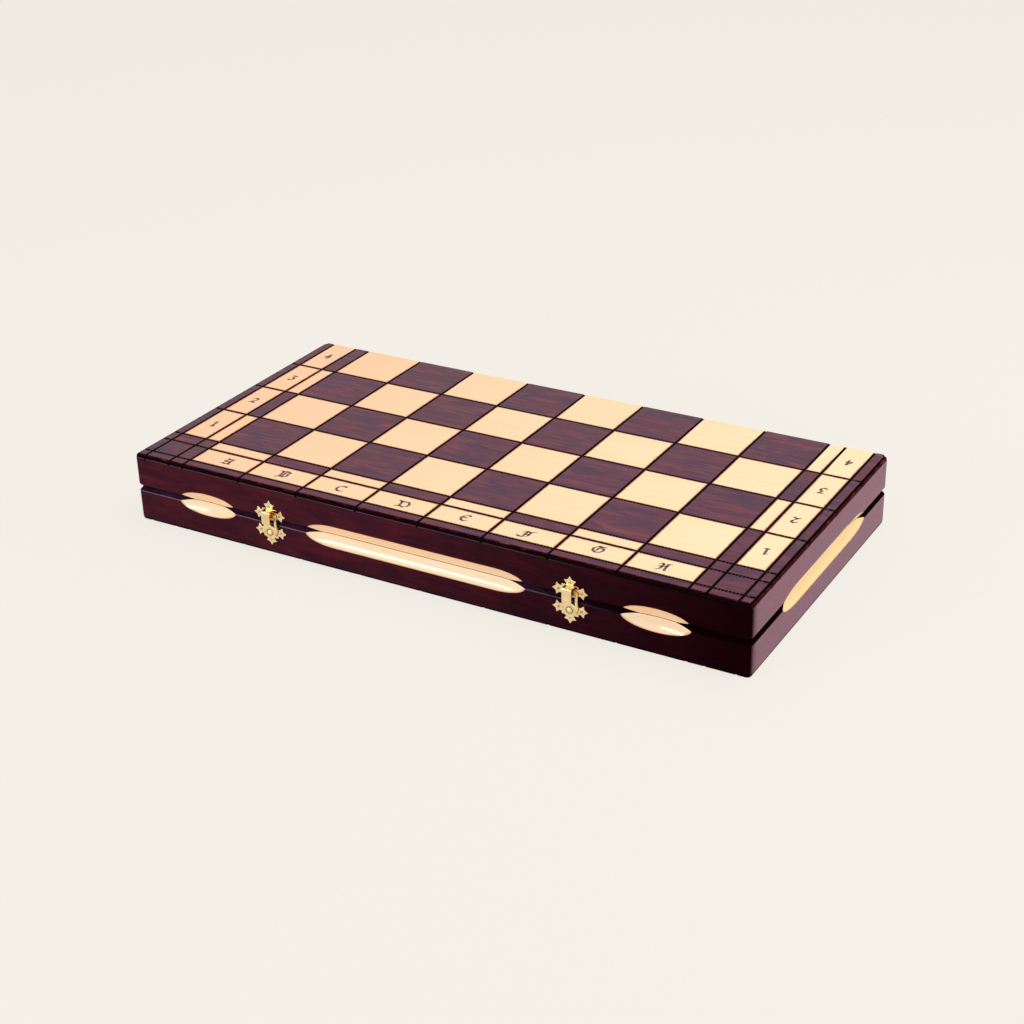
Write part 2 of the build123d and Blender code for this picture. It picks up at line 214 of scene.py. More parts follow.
def board_pale():
    """The pale squares, paler to the right, and scorched orange where the hot wheel passed."""
    material, tree, shader, colour = pale_wood("pale_squares", "X", ((0.92, 0.68, 0.42), (0.95, 0.745, 0.48)))
    to_left = spread(tree, coordinates(tree)[0], -0.2, 0.15, 0.8, 0.0)
    colour = mixed(tree, to_left, colour, (0.94, 0.555, 0.34))
    scorch = add(tree, "Attribute", attribute_name="scorch").outputs["Fac"]
    uneven = cloud(tree, (500.0, 500.0, 500.0), 3.0)
    burnt = worked(tree, "MULTIPLY", scorch, spread(tree, uneven, 0.3, 0.65, 0.4, 1.3))
    colour = mixed(tree, spread(tree, burnt, 0.1, 0.7, 0.0, 0.9), colour, (0.5, 0.14, 0.06))
    feed(tree, shader, Base_Color=colour)
    return material


def burned_wood():
    """The burned lines: charred black, but brown on the ridges that a toothed wheel left standing."""
    material, tree, shader = finish("burned_lines", IOR=1.3)
    grit = cloud(tree, (900.0, 900.0, 900.0), 3.0)
    char = colours(tree, grit, (0.45, 0.0012, 0.0004, 0.001), (0.75, 0.008, 0.003, 0.005))
    ridge = add(tree, "Attribute", attribute_name="ridge").outputs["Fac"]
    colour = mixed(tree, spread(tree, ridge, 0.65, 1.0, 0.0, 0.9), char, (0.1, 0.026, 0.036))
    feed(tree, shader, Base_Color=colour, Roughness=spread(tree, grit, 0.3, 0.7, 0.35, 0.6),
         Specular_IOR_Level=spread(tree, ridge, 0.5, 1.0, 0.04, 0.3), Normal=relief(tree, grit, 0.4, 0.0003))
    return material


def arris_red():
    """The arris, where the stain rubbed thin: red, and orange in places."""
    material, tree, shader = finish("rubbed_arris", IOR=1.3, Roughness=0.35, Specular_IOR_Level=0.03)
    spots = cloud(tree, (170.0, 170.0, 400.0), 3.0)
    stained, thin, bare = (0.38, 0.014, 0.002, 0.003), (0.6, 0.075, 0.005, 0.006), (0.84, 0.4, 0.11, 0.03)
    feed(tree, shader, Base_Color=colours(tree, spots, stained, thin, bare))
    return material


def lacquered_rim():
    """Small rounded rims, where lacquer gathered; to the right painted shade makes them as dark as the groove
    and takes their shine away.
    """
    material, tree, shader = finish("lacquered_rim", IOR=1.5)
    shader.inputs["Specular Tint"].default_value = (0.8, 0.62, 0.95, 1.0)
    patchy = cloud(tree, (60.0, 60.0, 400.0), 3.0)
    colour = colours(tree, patchy, (0.35, 0.03, 0.01, 0.02), (0.7, 0.09, 0.045, 0.08))
    where = coordinates(tree)[0]
    # painted shade to the right: darker colour and no shine
    colour = mixed(tree, spread(tree, where, 0.06, 0.13), colour, (0.004, 0.001, 0.002))
    feed(tree, shader, Base_Color=colour, Roughness=spread(tree, patchy, 0.35, 0.65, 0.5, 0.25),
         Specular_IOR_Level=spread(tree, where, 0.06, 0.13, 0.55, 0.0))
    return material


STAIN_AND_SHEEN_TONES = ((0.056, 0.022, 0.056), (0.108, 0.028, 0.052), (0.26, 0.062, 0.066))
WALL_TONES = ((0.034, 0.006, 0.014), (0.05, 0.008, 0.017), (0.1, 0.01, 0.015))
# painted light: the end tones are a brighter, more purple and shinier copy of the same wall stain, for faces
# that look along X
LIT_END_TONES = ((0.13, 0.03, 0.085), (0.165, 0.034, 0.085), (0.22, 0.035, 0.075))
# the darkest colour of the painted shade
PAINTED_SHADE_DARK = (0.0045, 0.0002, 0.0012)
pale_squares = board_pale()
# the dark squares' purple is partly the stain and partly a painted sheen
dark_squares = stained_wood("stained_squares", "X", STAIN_AND_SHEEN_TONES, 0.3)
burned_lines = burned_wood()
rubbed_arris = arris_red()
# painted shade: the front and back walls darken and lose their shine towards the right, and the end walls
# towards their front corners
stained_walls = stained_wood("stained_walls", "X", WALL_TONES, 0.05, painted_shade=("X", -0.05, 0.2, 0.93))
lit_end_stain = stained_wood("stained_walls_lit_ends", "Y", LIT_END_TONES, 0.55, 0.2, ("Y", -0.0968, -0.1045, 0.95))
rim_lacquer = lacquered_rim()
PANEL_FINISHES = [pale_squares, dark_squares, burned_lines, rubbed_arris,
                  stained_walls, lit_end_stain, rim_lacquer]
PALE, DARK, BURNED, RUBBED, SIDE, END, RIM = range(7)


def piece(bm, name, body, finishes, stands_for=(), crease=30.0):
    """A mesh drawn in millimetres, made an object that rides on its body; its large faces look flat."""
    bmesh.ops.scale(bm, vec=(MM, MM, MM), verts=bm.verts)
    mesh = bpy.data.meshes.new(name)
    bm.to_mesh(mesh)
    bm.free()
    for material in finishes:
        mesh.materials.append(material)
    mesh.shade_smooth()
    mesh.set_sharp_from_angle(angle=math.radians(crease))
    obj = bpy.data.objects.new(name, mesh)
    bpy.context.scene.collection.objects.link(obj)
    evened = obj.modifiers.new("evened", "WEIGHTED_NORMAL")
    evened.keep_sharp = True
    evened.weight = 100
    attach(obj, body)
    if stands_for:
        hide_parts(*stands_for)
    return obj


def beam(x0, y0, z0, x1, y1, z1):
    """A block between two corners."""
    bm = bmesh.new()
    bmesh.ops.create_cube(bm, size=1.0)
    bmesh.ops.scale(bm, vec=(x1 - x0, y1 - y0, z1 - z0), verts=bm.verts)
    bmesh.ops.translate(bm, vec=((x0 + x1) / 2, (y0 + y1) / 2, (z0 + z1) / 2), verts=bm.verts)
    return bm


def ease(bm, edges, width, steps, material=-1, clamp=False):
    """Bevels edges in so many steps, which rounds them where there are several."""
    bmesh.ops.bevel(bm, geom=edges, offset=width, segments=steps, profile=0.5, affect="EDGES",
                    material=material, clamp_overlap=clamp)


def stands(edge):
    """Whether an edge is upright."""
    return abs(edge.verts[0].co.z - edge.verts[1].co.z) > 1


def cell_is_pale(x, y, below):
    """Whether the board is pale there; below, pale and dark squares change places."""
    if abs(x) > LETTERS_X or y < LETTERS_Y:
        return False
    if abs(x) > SQUARES_X and y < SQUARES_Y:
        return False
    if abs(x) > NARROW_X or y < NARROW_Y:
        return True
    return (math.floor((x + SQUARES_X) / SQUARE) + math.floor((y - SQUARES_Y) / SQUARE) + below) % 2 == 1


def near(value, lines, reach):
    """Whether a value lies within reach of one of the lines."""
    return any(abs(value - line) < reach for line in lines)


def rebate_finish(step, middle):
    """The finish of a face of the rebate, by its step and its place.

    At the ends its outer steps are stained and rubbed; along the front the outermost is a lacquered
    rim and the two inner ones are rubbed. All the rest is burned.
    """
    out_x = abs(middle.x) - (LENGTH / 2 - EDGE_BAND)
    out_y = abs(middle.y) - (DEPTH / 2 - EDGE_BAND)
    if out_x > max(0, out_y):
        return (END, SIDE, RUBBED, RUBBED)[step] if step < 4 else BURNED
    if step == 0:
        return RIM
    return RUBBED if step >= len(REBATE) - 2 else BURNED


def board_blank():
    """The panel with its rebate, before the lines: face up, its face at the top of the box."""
    bm = beam(-LENGTH / 2, -DEPTH / 2, HEIGHT - PANEL_T, LENGTH / 2, DEPTH / 2, REBATE_FOOT)
    ease(bm, [e for e in bm.edges if stands(e)], CORNER_R, 6)
    top = max(bm.faces, key=lambda f: f.calc_center_median().z)
    for face in bm.faces:
        # panel sides that look along X take the lit copy of the wall stain: painted light
        face.material_index = END if abs(face.normal.x) > END_SHARE else SIDE
    for step, (inwards, up) in enumerate(REBATE):
        ring = bmesh.ops.inset_region(bm, faces=[top], thickness=inwards, use_even_offset=True)["faces"]
        bmesh.ops.translate(bm, vec=(0, 0, up), verts=top.verts)
        for face in ring:
            face.material_index = rebate_finish(step, face.calc_center_median())
    return bm


def close_back_edge(bm):
    """Gives the back edge a small arris and no rebate: it meets the other half's when the board is open."""
    for vert in bm.verts:
        if vert.co.y > DEPTH / 2 - REBATE_IN - TINY and abs(vert.co.x) < LENGTH / 2 - CORNER_R + TINY:
            if vert.co.z > REBATE_FOOT - TINY:
                inside = DEPTH / 2 - vert.co.y
                vert.co.z = FACE_Z - max(0.0, BACK_ARRIS - inside)


def burn_lines(bm):
    """Cuts the panel's face along both edges and the middle of every line."""
    across, along = Vector((1, 0, 0)), Vector((0, 1, 0))
    for lines, width, way in ((FILE_LINES, FILE_BURN, across), (RANK_LINES, RANK_BURN, along)):
        for place in [line + edge for line in lines for edge in (-width, 0, width)]:
            geom = bm.verts[:] + bm.edges[:] + bm.faces[:]
            bmesh.ops.bisect_plane(bm, geom=geom, plane_co=place * way, plane_no=way, dist=1e-4)


def colour_cells(bm, below):
    """Gives every cell and line its finish, and returns the pale cells."""
    pale = []
    bm.normal_update()
    for face in bm.faces:
        middle = face.calc_center_median()
        if middle.z < REBATE_FOOT:
            continue
        on_line = near(middle.x, FILE_LINES, FILE_BURN) or near(middle.y, RANK_LINES, RANK_BURN)
        flat = middle.z > FACE_Z - LEVEL
        at_back = middle.y > DEPTH / 2 - REBATE_IN and abs(middle.x) < LENGTH / 2 - CORNER_R
        if at_back and face.normal.z < 0.3:
            face.material_index = SIDE
        elif on_line:
            face.material_index = BURNED
        elif flat or at_back:
            is_pale = cell_is_pale(middle.x, middle.y, below)
            face.material_index = PALE if is_pale else DARK
            if is_pale and flat and not at_back:
                pale.append(face)
    return pale


def tooth_edges(bm):
    """The long edges in the rank lines, by the number of cuts that makes the wheel's teeth."""
    groups = {}
    for edge in bm.edges:
        first, second = (v.co for v in edge.verts)
        level = min(first.z, second.z) > FACE_Z - LEVEL
        if level and abs(first.y - second.y) < TINY and near(first.y, RANK_LINES, RANK_BURN + TINY):
            length = abs(first.x - second.x)
            if length > TOOTH_PITCH:
                groups.setdefault(2 * round(length / TOOTH_PITCH) - 1, []).append(edge)
    return groups


def tooth_number(x):
    """Which half tooth a place along a rank line is at, counted from the last file line; 0 off the teeth."""
    ends = sorted([line - FILE_BURN for line in FILE_LINES] + [LENGTH / 2 - REBATE_IN])
    starts = sorted([line + FILE_BURN for line in FILE_LINES] + [REBATE_IN - LENGTH / 2])
    for start, end in zip(starts, ends):
        if start + TINY < x < end - TINY:
            teeth = 2 * round((end - start) / TOOTH_PITCH)
            return round((x - start) / (end - start) * teeth)
    return 0


def sink_lines(bm):
    """Presses the lines in: an even V across, and a row of pits with toothed edges along."""
    ridge = bm.verts.layers.float.new("ridge")
    for vert in bm.verts:
        x, y, z = vert.co
        if z < REBATE_FOOT - LEVEL:
            continue
        in_file = near(x, FILE_LINES, TINY)
        in_rank = near(y, RANK_LINES, RANK_BURN + TINY)
        tooth = tooth_number(x)
        odd = tooth % 2
        if tooth and in_rank:
            vert[ridge] = float(not odd)
        if near(y, RANK_LINES, TINY):
            vert.co.z -= BURN_DEEP if in_file or odd else BURN_SHALLOW
        elif in_file:
            vert.co.z -= BURN_DEEP
        elif in_rank and z > FACE_Z - LEVEL and not near(x, FILE_LINES, FILE_BURN + TINY):
            line = min(RANK_LINES, key=lambda known: abs(known - y))
            vert.co.y += math.copysign(TOOTH_OUT if odd else -TOOTH_OUT, y - line)


def board_panel(half):
    """One half's board panel, burned, pressed and coloured; the underside's is turned over."""
    below = half == "lower"
    bm = board_blank()
    burn_lines(bm)
    close_back_edge(bm)
    pale = colour_cells(bm, below)
    scorch = bm.verts.layers.float.new("scorch")
    for vert in bm.verts:
        vert[scorch] = float(vert.co.y < DEPTH / 2 - REBATE_IN - TINY)
    bmesh.ops.inset_individual(bm, faces=pale, thickness=SCORCH_W, depth=0.0, use_even_offset=True)
    for face in pale:
        for vert in face.verts:
            vert[scorch] = 0.0
    for cuts, edges in tooth_edges(bm).items():
        bmesh.ops.subdivide_edges(bm, edges=edges, cuts=cuts)
    sink_lines(bm)
    if below:
        turn_over(bm)
    node = f"{half}_board_panel"
    return piece(bm, f"burned_{node}", f"{half}_half", PANEL_FINISHES, [node], 18.0)


def turn_over(bm):
    """Mirrors a lid piece to the lower half, about the parting plane."""
    bmesh.ops.scale(bm, vec=(1, 1, -1), verts=bm.verts)
    bmesh.ops.translate(bm, vec=(0, 0, HEIGHT), verts=bm.verts)
    bmesh.ops.reverse_faces(bm, faces=bm.faces)


board_panel("upper")
board_panel("lower")


# Letters and numbers: black-letter capitals along the front strip and old-style figures in the
# strips at the ends, branded into the pale wood. Each is written with a broad pen held at a slant,
# so every stroke is the hull of the pen's flat nib at its two ends.

NIB_W, NIB_T = 1.5, 0.55
NIB_SLANT = math.radians(38)
FIGURE_W, FIGURE_H = 4.0, 7.4
LETTER_Y = -87.2
FIGURE_X = 192.2
MARK_Z, MARK_T = HEIGHT - 0.045, 0.05

# each capital: width, height, how far right and up of its cell's middle it was stamped, strokes
CAPITALS = {
    "A": (5.8, 7.8, 0.9, -0.4, [
        [(22, 94), (54, 84), (96, 96)], [(90, 90), (84, 34), (100, 2)],
        [(46, 84), (14, 52), (40, 44), (84, 48)], [(4, 2), (20, 16), (52, 6), (84, 16)],
    ]),
    "B": (7.0, 9.0, 0.2, 0.1, [
        [(0, 92), (22, 84), (30, 26)], [(52, 84), (54, 30)],
        [(22, 92), (60, 99), (94, 84), (84, 60), (98, 40), (80, 16), (44, 18)],
        [(44, 20), (20, 16), (8, 0)],
    ]),
    "C": (6.0, 7.2, -0.6, -0.1, [
        [(58, 92), (22, 74), (10, 44), (30, 12), (62, 2), (96, 12)], [(44, 90), (70, 98), (98, 84)],
    ]),
    "D": (8.2, 7.8, 1.4, -0.5, [
        [(2, 92), (20, 84), (30, 60), (36, 18)],
        [(18, 88), (50, 84), (80, 88), (98, 56), (94, 22), (72, 4), (36, 14), (4, 2)],
    ]),
    "E": (5.6, 7.4, 0.1, 0.7, [
        [(62, 94), (24, 76), (10, 44), (30, 12), (62, 0), (96, 12)], [(50, 90), (74, 100), (98, 86)],
        [(24, 54), (70, 54)],
    ]),
    "F": (8.6, 8.2, -1.4, -0.8, [
        [(48, 84), (46, 22)], [(76, 84), (74, 26), (46, 6), (22, 2), (0, 12)],
        [(24, 72), (44, 88), (70, 82), (100, 100)], [(40, 46), (72, 52)],
    ]),
    "G": (7.0, 7.4, 0.9, 1.4, [
        [(76, 92), (34, 94), (4, 58), (14, 22), (46, 0), (82, 12), (98, 46), (88, 72), (62, 70)],
        [(46, 76), (44, 30)], [(34, 100), (66, 92), (96, 100)],
    ]),
    "H": (6.6, 8.4, -0.9, -0.4, [
        [(0, 84), (22, 95), (36, 82), (34, 22), (6, 0)], [(8, 50), (34, 56)],
        [(34, 50), (60, 64), (76, 56)], [(76, 94), (74, 26), (86, 2)], [(60, 88), (98, 100)],
    ]),
}
FIGURES = {
    "1": [[(4, 84), (40, 97), (48, 40), (56, 6)], [(24, 3), (90, 3)]],
    "2": [[(4, 74), (38, 98), (82, 84), (82, 62), (44, 32), (4, 4)], [(8, 8), (50, 14), (98, 3)]],
    "3": [[(16, 97), (90, 95), (46, 64), (86, 46), (90, 20), (56, 1), (4, 12)]],
    "4": [[(68, 0), (62, 98)], [(62, 94), (2, 34), (98, 38)]],
    "5": [[(90, 98), (30, 92), (22, 56), (66, 60), (92, 34), (70, 4), (8, 6)]],
    "6": [[(84, 99), (34, 78), (10, 34), (38, 0), (84, 12), (84, 44), (24, 46)]],
    "7": [[(4, 86), (20, 97), (96, 95), (48, 44), (34, 0)]],
    "8": [[(50, 54), (14, 76), (46, 100), (86, 80), (50, 54), (6, 26), (46, 0), (94, 24), (50, 54)]],
}


def verts_in(results):
    """The vertices among an operator's results."""
    return [item for item in results if isinstance(item, bmesh.types.BMVert)]


def write(bm, strokes_of, x, y, width, height, right, up):
    """Writes one character with its middle at x, y; right and up are +-1 along X and Y."""
    nib = Matrix.Rotation(NIB_SLANT * right * up, 4, "Z") @ Matrix.Diagonal((NIB_W, NIB_T, MARK_T, 1))
    for stroke in strokes_of:
        spots = [(x + right * (u / 100 - 0.5) * width, y + up * (v / 100 - 0.5) * height) for u, v in stroke]
        for start, end in zip(spots, spots[1:]):
            hull = []
            for spot in (start, end):
                where = Matrix.Translation((*spot, MARK_Z)) @ nib
                hull += bmesh.ops.create_cube(bm, size=1.0, matrix=where)["verts"]
            inner = bmesh.ops.convex_hull(bm, input=hull)["geom_interior"]
            bmesh.ops.delete(bm, geom=verts_in(inner), context="VERTS")


def ink():
    """The branded marks: a grey purple-black scorch."""
    material, tree, shader = finish("branded_marks", IOR=1.4)
    patchy = cloud(tree, (900.0, 900.0, 900.0), 2.0)
    colour = colours(tree, patchy, (0.35, 0.06, 0.03, 0.055), (0.7, 0.24, 0.13, 0.14))
    feed(tree, shader, Base_Color=colour, Roughness=spread(tree, patchy, 0.3, 0.7, 0.4, 0.6))
    return material


branded_marks = ink()


def lettering(half, figures):
    """One half's letters and figures; the lower half's are seen from underneath, so right is turned round."""
    bm = bmesh.new()
    view = -1 if half == "lower" else 1
    for column, (width, height, right, up, drawn) in enumerate(CAPITALS.values()):
        write(bm, drawn, (column - 3.5) * SQUARE + view * right, LETTER_Y + up, width, height, view, 1)
    for rank, figure in enumerate(figures):
        y = SQUARES_Y + (rank + 0.5) * SQUARE
        for end in (-1, 1):
            up = -end * view
            write(bm, FIGURES[figure], end * FIGURE_X, y, FIGURE_W, FIGURE_H, up * view, up)
    if half == "lower":
        turn_over(bm)
    return piece(bm, f"{half}_lettering", f"{half}_half", [branded_marks])


lettering("upper", "1234")
lettering("lower", "8765")


# Walls: stained beech, ten millimetres thick, butted at the corners and bevelled outside where the
# halves meet, so that the closed box has a V groove all round. Three finger coves on the front and
# one on each end were cut across the groove by round-edged discs after staining, and show pale wood.

WALL_T = 10.0
BEVEL = 2.1
HALF_H = 23.0
PARTING_Z = HEIGHT / 2
INNER_L, INNER_D = LENGTH - 2 * WALL_T, DEPTH - 2 * WALL_T
DISC_R, FRONT_EDGE_R, END_EDGE_R, COVE_DROP = 85.0, 10.9, 7.2, 0.9

# coves along a wall: middle, length (or none for a plunge cut), depth
FRONT_COVES = [(-4.5, 153.0, 2.75), (-154.5, 0.0, 2.9), (153.5, 0.0, 2.9)]
END_COVE = (3.0, 129.0, 4.0)
OVERRUN = 1.5
HINGE_X, HINGE_Y, HINGE_L = (-120.0, 120.0), 105.15, 30.0
LEAF_W, LEAF_T, KNUCKLE_ROOM = 8.0, 1.0, 2.3
RIM_W = 0.35


def cove_wood():
    """Pale wood in the coves: orange at the rim, where stain crept in, darker orange in the lid's half as
    painted shade, yellow at the ends.
    """
    material, tree, shader, colour = pale_wood("cove_wood", "X", ((0.93, 0.67, 0.43), (0.97, 0.8, 0.57)))
    shader.inputs["Coat Roughness"].default_value = 0.12
    x, y, z = coordinates(tree)
    from_face = worked(tree, "SUBTRACT", DEPTH / 2 * MM, worked(tree, "ABSOLUTE", y))
    from_end = worked(tree, "SUBTRACT", LENGTH / 2 * MM, worked(tree, "ABSOLUTE", x))
    at_end = spread(tree, from_end, 0.008, 0.0045)
    feed(tree, shader, Coat_Weight=spread(tree, at_end, 0.0, 1.0, 0.6, 0.05))
    colour = mixed(tree, at_end, colour, (0.9, 0.67, 0.36))
    # painted shade: the lid's half of the cove looks down and is made darker and more orange
    lid_shade = worked(tree, "SUBTRACT", spread(tree, z, 0.0226, 0.0246, 0.0, 0.68), at_end)
    colour = mixed(tree, worked(tree, "MAXIMUM", lid_shade, 0.0), colour, (0.86, 0.5, 0.26))
    depth = worked(tree, "MINIMUM", from_face, from_end)
    crept = worked(tree, "MULTIPLY", cloud(tree, (160.0, 160.0, 160.0), 3.0), -0.0003)
    rim = spread(tree, worked(tree, "ADD", depth, crept), -0.0002, 0.0004, 0.85, 0.0)
    feed(tree, shader, Base_Color=mixed(tree, rim, colour, (0.55, 0.22, 0.07)))
    return material


# the groove's purple tones stand in for a sheen (painted reflection), and painted shade darkens it towards the
# right
GROOVE_AND_SHEEN_TONES = ((0.01, 0.004, 0.01), (0.03, 0.013, 0.036), (0.06, 0.01, 0.018))
groove_wood = stained_wood("stained_groove", "X", GROOVE_AND_SHEEN_TONES, 0.015, painted_shade=("X", 0.07, 0.13, 0.97))
pale_coves = cove_wood()
WALL_FINISHES = [stained_walls, groove_wood, pale_coves, rim_lacquer, lit_end_stain]
# the last finish is the lit copy of the wall stain, for faces that look along X: painted light
WALL, GROOVE, COVE, ROUNDED, LIT_END_FACE = range(5)


def lies_on(edge, axis, value):
    """Whether an edge lies in the plane where that coordinate has that value."""
    return all(abs(v.co[axis] - value) < TINY for v in edge.verts)


def faces_in(results):
    """The faces among an operator's results."""
    return [item for item in results if isinstance(item, bmesh.types.BMFace)]


def swing(bm, angle, axis):
    """Turns a mesh about an axis through the origin, by radians."""
    bmesh.ops.rotate(bm, cent=(0, 0, 0), matrix=Matrix.Rotation(angle, 3, axis), verts=bm.verts)


def to_left(bm):
    """Mirrors a right-hand piece to the left."""
    bmesh.ops.scale(bm, vec=(-1, 1, 1), verts=bm.verts)
    bmesh.ops.reverse_faces(bm, faces=bm.faces)


def cove_cutter(middle, length, depth, face, edge_r):
    """What the disc's round edge sweeps along a face that looks towards -Y."""
    arc = math.acos(1 - depth / DISC_R)
    travel = max(0.0, length / 2 - DISC_R * math.sin(arc))
    axis_y, z = depth - face - DISC_R, PARTING_Z - COVE_DROP
    first_axis, last_axis = (middle - travel, axis_y, z), (middle + travel, axis_y, z)
    sweep = {"axis": (0, 0, 1), "angle": -OVERRUN * arc, "steps": 24}
    bm = bmesh.new()
    bmesh.ops.create_circle(bm, segments=72, radius=edge_r, cap_ends=True)
    at_edge = Matrix.Translation((middle - travel, axis_y + (DISC_R - edge_r), z))
    bmesh.ops.transform(bm, matrix=at_edge @ Matrix.Rotation(math.pi / 2, 4, "Y"), verts=bm.verts)
    bmesh.ops.rotate(bm, cent=first_axis, matrix=Matrix.Rotation(OVERRUN * arc, 3, "Z"), verts=bm.verts)
    end = faces_in(bmesh.ops.spin(bm, geom=bm.faces[:], cent=first_axis, **sweep)["geom_last"])
    if travel:
        moved = bmesh.ops.extrude_face_region(bm, geom=end)["geom"]
        bmesh.ops.delete(bm, geom=end, context="FACES")
        bmesh.ops.translate(bm, vec=(2 * travel, 0, 0), verts=verts_in(moved))
        end = faces_in(moved)
    bmesh.ops.spin(bm, geom=end, cent=last_axis, **sweep)
    bmesh.ops.remove_doubles(bm, verts=bm.verts, dist=0.001)
    round_faces = [f for f in bm.faces if len(f.verts) > 4]
    inside = sorted(round_faces, key=lambda f: f.calc_center_median().x)[1:-1]
    bmesh.ops.delete(bm, geom=inside, context="FACES_ONLY")
    bmesh.ops.recalc_face_normals(bm, faces=bm.faces)
    return bm


def cut(bm, cutters):
    """The mesh with the cutters taken away; a cut face keeps its cutter's material number."""
    objects = []
    for shape in [bm] + cutters:
        mesh = bpy.data.meshes.new("rough")
        shape.to_mesh(mesh)
        shape.free()
        for material in WALL_FINISHES:
            mesh.materials.append(material)
        objects.append(bpy.data.objects.new("rough", mesh))
        bpy.context.scene.collection.objects.link(objects[-1])
    work = objects[0]
    for cutter in objects[1:]:
        step = work.modifiers.new("cut", "BOOLEAN")
        step.object = cutter
        step.solver = "EXACT"
        step.material_mode = "TRANSFER"
    graph = bpy.context.evaluated_depsgraph_get()
    made = bpy.data.meshes.new_from_object(work.evaluated_get(graph))
    result = bmesh.new()
    result.from_mesh(made)
    for obj in objects:
        bpy.data.meshes.remove(obj.data)
    bpy.data.meshes.remove(made)
    return result


def bevel_rim(bm, rim):
    """Bevels a wall's outer rim, and rounds the edge between that bevel and the face."""
    ease(bm, rim, BEVEL, 1, GROOVE)
    groove = [f for f in bm.faces if f.material_index == GROOVE]
    lower = {e for f in groove for e in f.edges if lies_on(e, 2, HALF_H - BEVEL)}
    ease(bm, list(lower), RIM_W, 3, ROUNDED)


def long_wall(back):
    """The lower half's front or back wall: its outer corners rounded, its outer rim bevelled."""
    bm = beam(-LENGTH / 2, -DEPTH / 2, PANEL_T, LENGTH / 2, -INNER_D / 2, HALF_H)
    ease(bm, [e for e in bm.edges if lies_on(e, 1, -DEPTH / 2) and stands(e)], CORNER_R, 6)
    bevel_rim(bm, [e for e in bm.edges if lies_on(e, 2, HALF_H) and not lies_on(e, 1, -INNER_D / 2)])
    if back:
        swing(bm, math.pi, "Z")
    return bm


def end_wall(side):
    """The lower half's left or right wall, between the long ones."""
    bm = beam(INNER_L / 2, -INNER_D / 2, PANEL_T, LENGTH / 2, INNER_D / 2, HALF_H)
    bevel_rim(bm, [e for e in bm.edges if lies_on(e, 2, HALF_H) and lies_on(e, 0, LENGTH / 2)])
    if side < 0:
        to_left(bm)
    return bm


def coves_for(wall):
    """The cutters of the coves that reach a wall."""
    cutters = []
    if wall == "front_wall":
        cutters = [cove_cutter(*cove, DEPTH / 2, FRONT_EDGE_R) for cove in FRONT_COVES]
    elif wall != "back_wall":
        cutters = [cove_cutter(*END_COVE, LENGTH / 2, END_EDGE_R)]
        swing(cutters[0], math.pi / 2, "Z")
        if wall == "left_wall":
            to_left(cutters[0])
    for bm in cutters:
        for face in bm.faces:
            face.material_index = COVE
            face.smooth = True
    return cutters


def hinge_beds(upper):
    """The recesses for the leaves and their knuckles in the back wall."""
    beds = []
    for x in HINGE_X:
        half = HINGE_L / 2
        bed = beam(x - half, DEPTH / 2 - LEAF_W, HALF_H - LEAF_T, x + half, DEPTH / 2 + 1, HALF_H + 1)
        room = bmesh.new()
        lying = Matrix.Translation((x, HINGE_Y, PARTING_Z)) @ Matrix.Rotation(math.pi / 2, 4, "Y")
        bmesh.ops.create_cone(room, cap_ends=True, segments=48, radius1=KNUCKLE_ROOM, radius2=KNUCKLE_ROOM,
                              depth=HINGE_L, matrix=lying)
        beds += [bed, room]
    if upper:
        for bm in beds:
            turn_over(bm)
    return beds


for half in ("lower", "upper"):
    upper = half == "upper"
    for wall in ("front_wall", "back_wall", "left_wall", "right_wall"):
        if wall in ("front_wall", "back_wall"):
            bm = long_wall(wall == "back_wall")
        else:
            bm = end_wall(-1 if wall == "left_wall" else 1)
        if upper:
            turn_over(bm)
        cutters = coves_for(wall)
        if wall == "back_wall":
            cutters += hinge_beds(upper)
        bm = cut(bm, cutters)
        for face in bm.faces:
            if upper and face.material_index == ROUNDED:
                face.material_index = WALL
            # faces that look along X take the lit copy of the wall stain: painted light
            if face.material_index == WALL and abs(face.normal.x) > END_SHARE:
                face.material_index = LIT_END_FACE
        node = f"{half}_{wall}"
        piece(bm, f"{node}_wood", f"{half}_half", WALL_FINISHES, [node], 25.0)


# Linings: green wool felt, cut to the floor of each half and glued down, so it lies flat with its
# cut edge standing soft and a little fuzz on top.

LINING_T, LINING_CLEAR = 1.2, 0.3
GLUE_T = 0.02
SOFT_EDGE = 0.45
FELT_L, FELT_W = INNER_L - 2 * LINING_CLEAR, INNER_D - 2 * LINING_CLEAR


def felt():
    """Wool felt: matted fibres, with a soft sheen."""
    material, tree, shader = finish("green_felt", Roughness=0.95, Sheen_Weight=0.35, Sheen_Roughness=0.5,
                                    Specular_IOR_Level=0.15)
    shader.inputs["Sheen Tint"].default_value = (0.35, 0.75, 0.45, 1.0)
    fibres = cloud(tree, (2600.0, 2600.0, 2600.0), 5.0, 0.7, 1.2)
    tufts = cloud(tree, (350.0, 350.0, 350.0), 3.0)
    deep, bright = (0.35, 0.008, 0.06, 0.028), (0.65, 0.03, 0.15, 0.075)
    colour = colours(tree, blended(tree, 0.6, fibres, tufts), deep, bright)
    feed(tree, shader, Base_Color=colour, Normal=relief(tree, fibres, 0.5, 0.0004))
    return material


green_felt = felt()

for half in ("lower", "upper"):
    bm = beam(-FELT_L / 2, -FELT_W / 2, PANEL_T + GLUE_T, FELT_L / 2, FELT_W / 2, PANEL_T + LINING_T)
    ease(bm, [e for e in bm.edges if lies_on(e, 2, PANEL_T + LINING_T)], SOFT_EDGE, 3)
    if half == "upper":
        turn_over(bm)
    cloth = piece(bm, f"{half}_felt", f"{half}_half", [green_felt], [f"{half}_lining"])


